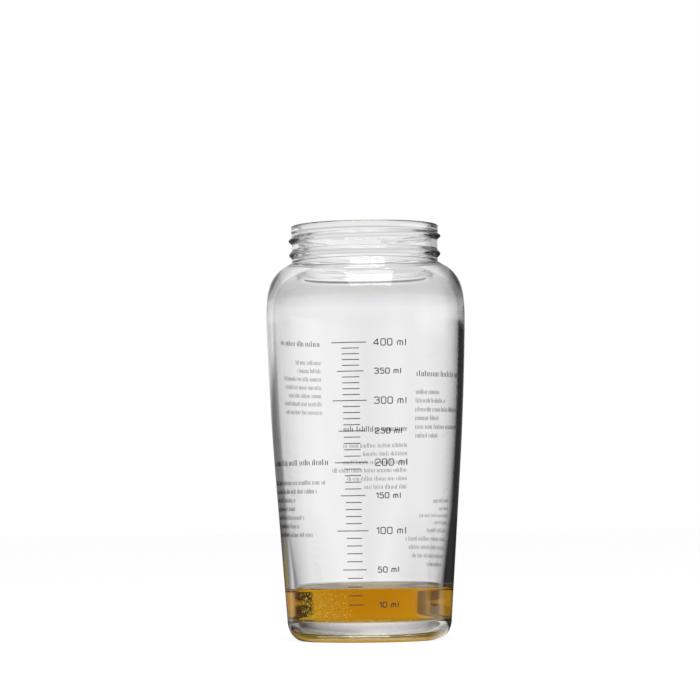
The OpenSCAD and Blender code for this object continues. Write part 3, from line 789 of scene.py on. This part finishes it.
def tab():
    """The thumb tab, carried across from left to right: a bar with rounded edges whose
    front follows a circle and is drawn in at the corners by a quarter round."""
    across = tab_w / 2 * np.sin(np.linspace(-np.pi / 2, np.pi / 2, 41))
    over = np.maximum(np.abs(across) - (tab_w / 2 - tab_corner), 0)
    quarter = np.sqrt(np.maximum(tab_corner ** 2 - over ** 2, 0))
    front = np.sqrt((cap_r + tab_out) ** 2 - across ** 2) - tab_corner + quarter
    back = np.full_like(across, cap_r - tab_sunk)
    edge = arc(0, 0, tab_edge, -90, 0, 5)
    lower_edge = edge + [-tab_edge, tab_edge]
    upper_edge = edge[::-1] * [1, -1] + [-tab_edge, tab_t - tab_edge]
    front_edge = np.concatenate([lower_edge, upper_edge])
    y = np.stack([back, back] + [front + e for e in front_edge[:, 0]], 1)
    z = np.concatenate([[tab_t, 0], front_edge[:, 1]])
    x = across[:, None] + 0 * y
    points = np.stack([x, -y, cap_low + z + 0 * y], 2)
    n, m = y.shape
    i, k = np.meshgrid(np.arange(n - 1), np.arange(m), indexing="ij")
    here, after, beside = i * m, (i + 1) * m, (k + 1) % m
    faces = np.stack([here + k, here + beside, after + beside, after + k], 2).reshape(-1, 4)
    ends = [list(range(m))[::-1], list(range((n - 1) * m, n * m))]
    return points.reshape(-1, 3) + [lid_x, 0, 0], faces.tolist() + ends


knuckle_in = hinge_y - cap_back + knuckle_sunk
knuckle = barrel(-knuckle_l / 2, knuckle_l / 2, knuckle_in, barrel_r, False, pin_r + pin_gap)
cap = joined("flip_cap_moulding", [(cap_points, cap_faces), tab(), knuckle])
cap.data.materials.append(black)
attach(cap, "cap")
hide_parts("flip_cap")

# The cover plate: a disc of the same spun steel as the ring, with its edge broken, bonded
# into the recess in the top of the cap.
plate_slack, plate_t, plate_edge, glue_t = 0.1, 0.7, 0.25, 0.02
plate_in = plate_rim + plate_slack
plate_low, plate_top = roof_top + glue_t, roof_top + plate_t
plate_rows = [(0, plate_in, plate_low), (1, plate_in, plate_low)]
plate_rows += round_over(plate_in, plate_top, plate_edge, 5)
plate_rows += [(share, plate_in, plate_top) for share in (0.96, 0.6, 0.3, 0)]
plate_r_rows, plate_z_rows = cap_rows(plate_rows)
plate_points, plate_faces = lathe_grid(plate_r_rows, plate_z_rows, cap_turns)
plate = joined("cap_cover_plate", [(plate_points + [lid_x, 0, 0], plate_faces)])
plate.data.materials.append(steel)
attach(plate, "cap")
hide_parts("cap_plate")

# The studio: a pale floor that runs out of sight under plain soft light. Clear glass shows
# only what stands round it, and what it bends and mirrors here is painted light and shade: a
# ring of white and dark bands, with a ring of its own for each way that light takes through the
# glass.
floor_half, floor_shade, floor_seen, floor_shadow = 9000, 0.85, 1.06, 0.18
hollow_lead, amber_glow_from, amber_glow_to = 0.15, 0.2, 0.3
once, met_hollow, met_oil = 0.5, 3.5, 4.5

# A ring lists compass degrees, from the back towards +X, and the painted brightness there. This
# one is for light through the wall, the hollow and the wall: white with two painted dark bands.
hollow_ring = [
    (-180, 0.9), (-135, 0.6), (-90, 0.95), (-60, 0.5), (-50, 0.8), (-38, 0.8), (-30, 0.6),
    (-26, 0.15), (-18, 0.15), (-15.5, 0.6), (-12, 0.78), (-9, 0.84), (-6.7, 0.88), (-4, 0.94),
    (-2.6, 1.02), (-1.6, 1.02), (-0.5, 0.93), (0, 0.91), (0.4, 0.94), (1, 1.0), (2, 0.97),
    (3.5, 0.88), (4.8, 0.84), (6, 0.78), (12, 0.7), (16, 0.36), (19, 0.2), (22, 0.08),
    (29, 0.1), (34, 0.6), (38, 0.8), (180, 0.9)]
# Painted reflection, mirrored by the glass: bright behind on the left and beside the jar on the right
mirror_ring = [
    (-180, 0.05), (-70, 0.1), (-50, 0.7), (-34, 0.8), (-24, 0.55), (-10, 0.8), (-4, 0.85),
    (0, 0.8), (4, 0.4), (9, 0.1), (14, 0.03), (60, 0.03), (68, 0.5), (76, 1.4), (106, 1.4),
    (126, 0.07), (180, 0.05)]
# Painted shade through the oil: two grey bands on the left and a black one on the right
oil_ring = [
    (-180, 0.9), (-80, 0.8), (-60, 0.5), (-45, 0.64), (-42, 0.2), (-33.6, 0.2), (-32, 0.5),
    (-30, 0.5), (-28.4, 0.3), (-24, 0.3), (-22, 1.0), (28, 1.0), (31, 0.08), (48, 0.08),
    (54, 0.8), (180, 0.9)]
# Painted shade through the solid foot or the bare wall: brightest behind, with a black band at each
# side
solid_ring = [
    (-180, 0.7), (-56, 0.55), (-43, 0.45), (-36, 0.1), (-27, 0.1), (-21, 0.41), (-15, 0.55),
    (0, 0.85), (10, 0.7), (18, 0.47), (25, 0.35), (32, 0.08), (40, 0.08), (46, 0.55),
    (60, 0.65), (180, 0.7)]
# Painted shade near the floor, as the share of mirrored light that it takes away: one band behind on
# the left, and one on the right for light that was mirrored inside the wall
painted_low_shade = [(-52, 0), (-42, 0.76), (0, 0.72), (8, 0)]
painted_wall_shade = [(48, 0), (58, 0.96), (150, 0.96), (160, 0)]
# Painted amber glow on the floor behind the foot, a painted reflection of the oil, for light that was
# mirrored inside the wall
amber_glow_share, amber_glow_colour = [(-34, 0), (-26, 1), (8, 1), (14, 0)], (2.7, 1.75, 0.05)
froth_light = 1.2


def light_path(wire, name):
    """One output of the Light Path node, shared in the tree."""
    node = next((n for n in wire.tree.nodes if n.type == "LIGHT_PATH"), None)
    if node:
        return Wire(wire.tree, node.outputs[name])
    return wire.add("LightPath", None, None, name)


def compass(wire, place, lead=0):
    """Compass angle of a place or direction, as 0 to 1 for -180 to 180 degrees: the angle
    whose tangent is x over y plus the lead, which moves the compass towards the front."""
    x, y = (wire.add("SeparateXYZ", None, {0: place}, out) for out in "XY")
    return wire.math("ARCTAN2", x, y + lead) * (0.5 / math.pi) + 0.5


def ring_light(wire, ring, angle):
    """Brightness of a ring at this compass angle, on straight lines between its stops."""
    stops = [(0.5 + degrees / 360, bright) for degrees, bright in ring]
    return wire.add("ValToRGB", {"stops": stops}, {0: angle})


def fade(wire, stops, value):
    """A number that runs on straight lines between stops of (value, number)."""
    return wire.add("ValToRGB", {"stops": stops}, {0: value})


def in_wall(wire):
    """1 for light that has met the wall or the foot, and hasn't crossed the hollow."""
    depth = light_path(wire, "Transmission Depth")
    return (depth > once) * (depth < met_hollow)


def surround(wire, place, low, lead=0):
    """Painted light and shade that bent and mirrored light finds in this direction, which is that of
    the ring for its way through the glass. low is 1 where the painted dark bands near the floor lie.
    The froth gets more light than the rest, by froth_light."""
    angle = compass(wire, place)
    hollow = ring_light(wire, hollow_ring, compass(wire, place, lead))
    mirror, oil_side, solid, low_shade, wall_shade = (
        ring_light(wire, ring, angle)
        for ring in (mirror_ring, oil_ring, solid_ring, painted_low_shade, painted_wall_shade))
    depth = light_path(wire, "Transmission Depth")
    mirrored = light_path(wire, "Glossy Depth") > once
    in_oil = depth > met_oil
    in_foot = (1 - mirrored) * in_wall(wire)
    wall = mirror * (1 - low * (low_shade + wall_shade * (depth > once)))
    thin = (hollow * (1 - mirrored) + wall * mirrored) * (1 - in_foot) + solid * in_foot
    lit = 1 + in_oil * (light_path(wire, "Diffuse Depth") > once) * froth_light
    return (thin * (1 - in_oil) + oil_side * in_oil) * lit


corners = np.array([[-1, -1, 0], [1, -1, 0], [1, 1, 0], [-1, 1, 0]]) * floor_half
ground = mesh_of("floor", corners, [[0, 1, 2, 3]], False)
mat, wire = material("pale_floor")
place = wire.add("TexCoord", None, None, "Object")
# For light through the glass the floor glows with the painted light and shade of the rings
bright = surround(wire, place, 1, hollow_lead)
seen = light_path(wire, "Is Camera Ray")
spread = light_path(wire, "Is Diffuse Ray")
plain = wire.add("BsdfDiffuse", None, {"Color": (floor_shade, floor_shade, floor_shade, 1)})
x, y = (wire.add("SeparateXYZ", None, {0: place}, out) for out in "XY")
off = wire.math("SQRT", x * x + y * y)
in_glass = (light_path(wire, "Glossy Depth") > once) * in_wall(wire)
# The floor glows amber here: a painted reflection of the oil seen in the wall
painted_amber = ring_light(wire, amber_glow_share, compass(wire, place)) * in_glass
painted_amber = painted_amber * fade(wire, [(amber_glow_from, 1), (amber_glow_to, 0)], off)
tint = wire.add("Mix", {"data_type": "RGBA"}, {0: painted_amber, 6: (1, 1, 1, 1), 7: (*amber_glow_colour, 1)}, 2)
strength = seen * floor_seen + (1 - seen) * bright
white = wire.add("Emission", None, {"Color": tint, "Strength": strength})
share = (1 - spread) * (1 - seen * floor_shadow)
surface = wire.add("MixShader", None, {0: share, 1: plain, 2: white})
wire.add("OutputMaterial", None, {"Surface": surface})
ground.data.materials.append(mat)

# The strip card: a low ring of card round the foot that glows with painted light and shade, with
# painted dark bands on it. Only light that went through the wall or the foot shows it, and it takes
# no light from the rest.
strip_r, strip_h, strip_n = 60, 9, 72
strip_painted_shade = [
    (-90, 0.35), (-48, 0.38), (-34.5, 0.47), (-26.5, 0.56), (-20, 0.16), (-16.5, 0.13),
    (-10.9, 0.15), (-7.8, 0.45), (-4.8, 0.57), (-3, 0.7), (0, 0.82), (1.1, 0.78), (2.6, 0.67),
    (4.3, 0.56), (6.6, 0.45), (10, 0.24), (14, 0.07), (18, 0.1), (20, 0.4), (23, 0.56),
    (25.5, 0.67), (33, 0.69), (60, 0.5), (110, 0.6)]
turn = np.linspace(0, 2 * np.pi, strip_n, endpoint=False)
strip_low = np.stack([strip_r * np.sin(turn), strip_r * np.cos(turn), 0 * turn], 1)
here = np.arange(strip_n)
beside = (here + 1) % strip_n
strip_faces = np.stack([here, beside, beside + strip_n, here + strip_n], 1).tolist()
strip = mesh_of("strip_painted_glow", np.concatenate([strip_low, strip_low + [0, 0, strip_h]]), strip_faces)
mat, wire = material("strip_painted_glow")
shade = ring_light(wire, strip_painted_shade, compass(wire, wire.add("TexCoord", None, None, "Object")))
clear_air = wire.add("BsdfTransparent")
# The card glows with the painted shade of the foot; it is no lamp
card = wire.add("Emission", None, {"Color": shade, "Strength": 1.0})
surface = wire.add("MixShader", None, {0: in_wall(wire), 1: clear_air, 2: card})
wire.add("OutputMaterial", None, {"Surface": surface})
strip.data.materials.append(mat)
strip.visible_camera = strip.visible_diffuse = strip.visible_shadow = False

# The light: a white sky with the same rings of painted light and shade round the horizon and, higher
# up, a ceiling with painted shade, darker where the shoulder bends it, and one soft box overhead.
sky_share = [(0.067, 0.0), (0.08, 0.5), (0.3, 0.5), (0.5, 0.8), (0.8, 1.0)]
sky_tones = [(0.067, 0.98), (0.11, 0.9), (0.2, 0.42), (0.35, 0.5), (0.5, 0.85), (0.8, 1.0)]
low_share = [(0.018, 1), (0.036, 0)]
soft_light = 0.75
world = bpy.data.worlds.new("studio")
world.use_nodes = True
world.node_tree.nodes.clear()
bpy.context.scene.world = world
wire = Wire(world.node_tree)
direction = wire.add("TexCoord", None, None, "Generated")
rise = wire.add("SeparateXYZ", None, {0: direction}, "Z")
overhead = fade(wire, sky_share, rise)
upper = fade(wire, sky_tones, rise)
seen = light_path(wire, "Is Camera Ray")
spread = light_path(wire, "Is Diffuse Ray")
low = fade(wire, low_share, rise)
round_about = surround(wire, direction, low) * (1 - overhead) + overhead * upper
strength = seen + (1 - seen) * (spread * soft_light + (1 - spread) * round_about)
sky = wire.add("Background", None, {"Color": (1, 1, 1, 1), "Strength": strength})
wire.add("OutputWorld", None, {"Surface": sky})

lamp = bpy.data.objects.new("soft_box", bpy.data.lights.new("soft_box", "AREA"))
lamp.data.shape, lamp.data.size, lamp.data.size_y = "RECTANGLE", 0.9, 0.6
lamp.data.energy = 9
lamp.location = (0.08, -0.6, 1.1)
lamp.rotation_euler = (Vector((0, 0, 0.08)) - lamp.location).to_track_quat("-Z", "Y").to_euler()
bpy.context.scene.collection.objects.link(lamp)

# The camera: low in front of the jar and far off, as the photograph was taken, and turned a
# little about its own axis.
eye, aim, roll = Vector((0, -1.3, 0.05)), Vector((-0.0065, 0, 0.11755)), math.radians(0.77)
camera = bpy.data.objects.new("camera", bpy.data.cameras.new("camera"))
ahead = (aim - eye).normalized()
right = ahead.cross(Vector((0, 0, 1))).normalized()
up = right.cross(ahead)
up, right = up * math.cos(roll) + right * math.sin(roll), right * math.cos(roll) - up * math.sin(roll)
camera.matrix_world = Matrix.Translation(eye) @ Matrix((right, up, -ahead)).transposed().to_4x4()
camera.data.lens, camera.data.sensor_width = 164.8, 36
camera.data.clip_start, camera.data.clip_end = 0.05, 60
bpy.context.scene.collection.objects.link(camera)
bpy.context.scene.camera = camera
bpy.context.scene.view_settings.view_transform = "Standard"
bpy.context.scene.cycles.max_bounces = 32
bpy.context.scene.cycles.transmission_bounces = 32
bpy.context.scene.cycles.transparent_max_bounces = 32
